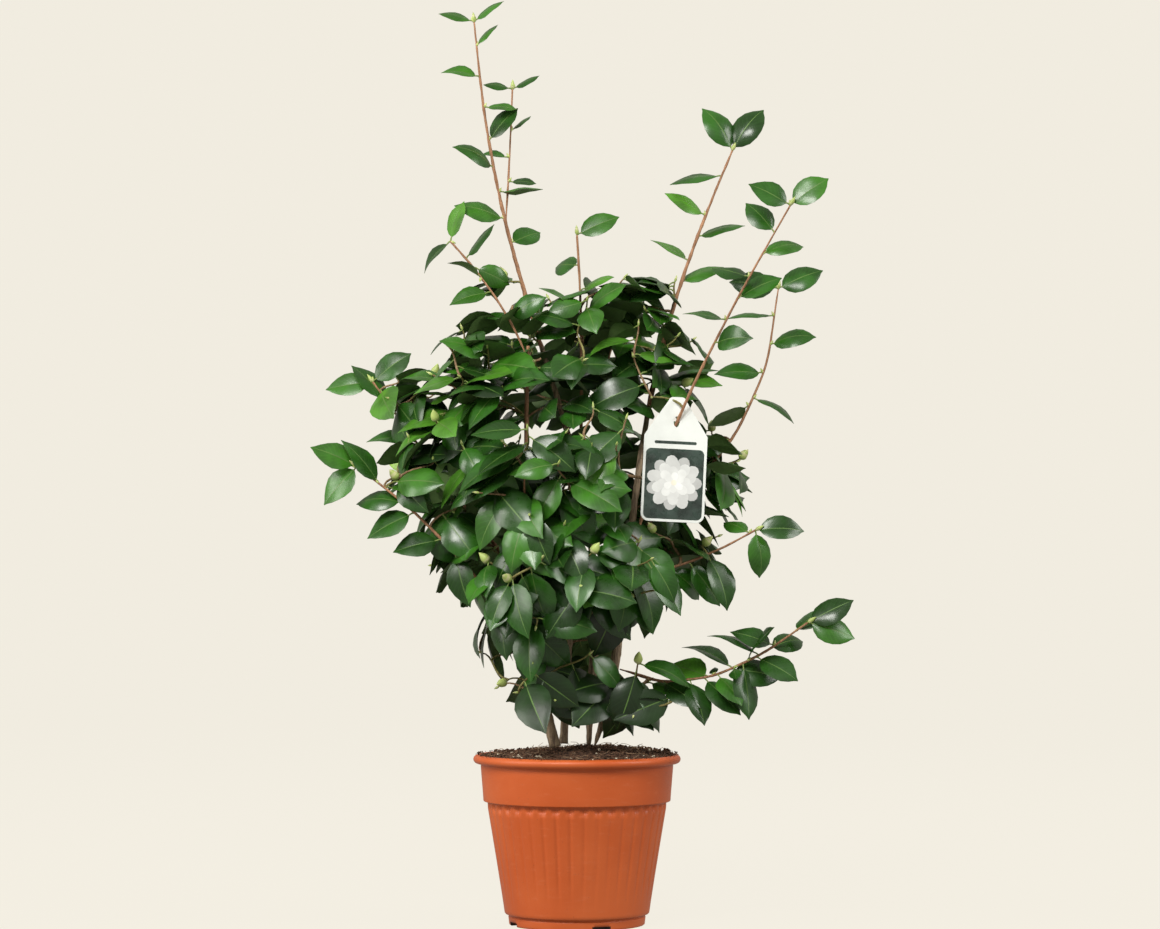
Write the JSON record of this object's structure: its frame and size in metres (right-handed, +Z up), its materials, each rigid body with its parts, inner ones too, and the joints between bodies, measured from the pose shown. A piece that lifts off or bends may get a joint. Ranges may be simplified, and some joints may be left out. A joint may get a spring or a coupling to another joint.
{
  "type": "potted camellia shrub",
  "caption": "Young evergreen camellia shrub with open upright shoots and glossy leaves, in a ribbed plastic nursery pot, with a hang label.",
  "frame": {"origin": "the middle of the pot's flat underside", "axes": "+Z up along the pot's axis, -Y towards the side the label hangs on, +X to the right seen from there"},
  "size_m": [0.6171, 0.3482, 1.0703],
  "materials": {
    "pot": "satin",
    "soil": "matte",
    "bark": "matte",
    "shoot": "satin",
    "leaves": "satin",
    "label": "satin"
  },
  "bodies": {
    "root": {"pot": "pot", "soil": "soil", "stem_left": "bark", "stem_middle": "bark", "stem_right": "bark", "stem_thin": "bark", "bough_left_crest": "shoot", "bough_left_high": "shoot", "bough_left_low": "shoot", "bough_tall_side": "shoot", "bough_right_long": "shoot", "bough_right_short": "shoot", "bough_right_mid": "shoot", "bough_right_low": "shoot", "bough_front_left": "shoot", "bough_front_right": "shoot", "bough_back_left": "shoot", "bough_back_right": "shoot", "bough_back_low": "shoot", "hang_label": "label", "leaves_low_left": "leaves", "leaves_low_front": "leaves", "leaves_low_right": "leaves", "leaves_low_back": "leaves", "leaves_mid_left": "leaves", "leaves_mid_front": "leaves", "leaves_mid_front_right": "leaves", "leaves_mid_right": "leaves", "leaves_mid_back_left": "leaves", "leaves_mid_back_right": "leaves", "leaves_upper_left": "leaves", "leaves_upper_front": "leaves", "leaves_upper_front_right": "leaves", "leaves_upper_right": "leaves", "leaves_upper_back_left": "leaves", "leaves_upper_back_right": "leaves", "leaves_left_shoulder": "leaves", "leaves_top_left": "leaves", "leaves_top_front": "leaves", "leaves_top_right": "leaves", "leaves_top_back": "leaves", "leaves_crest_left": "leaves", "leaves_crest_middle": "leaves", "leaves_crest_right": "leaves", "spray_tall_low": "leaves", "spray_tall_tip": "leaves", "spray_tall_side": "leaves", "spray_right_inner": "leaves", "spray_right_inner_tip": "leaves", "spray_right_long": "leaves", "spray_right_short": "leaves", "spray_left_crest": "leaves", "spray_left_high": "leaves", "spray_left_low": "leaves", "spray_right_mid": "leaves", "spray_right_low": "leaves", "spray_right_low_tip": "leaves", "spray_middle_tip": "leaves"}
  },
  "joints": []
}
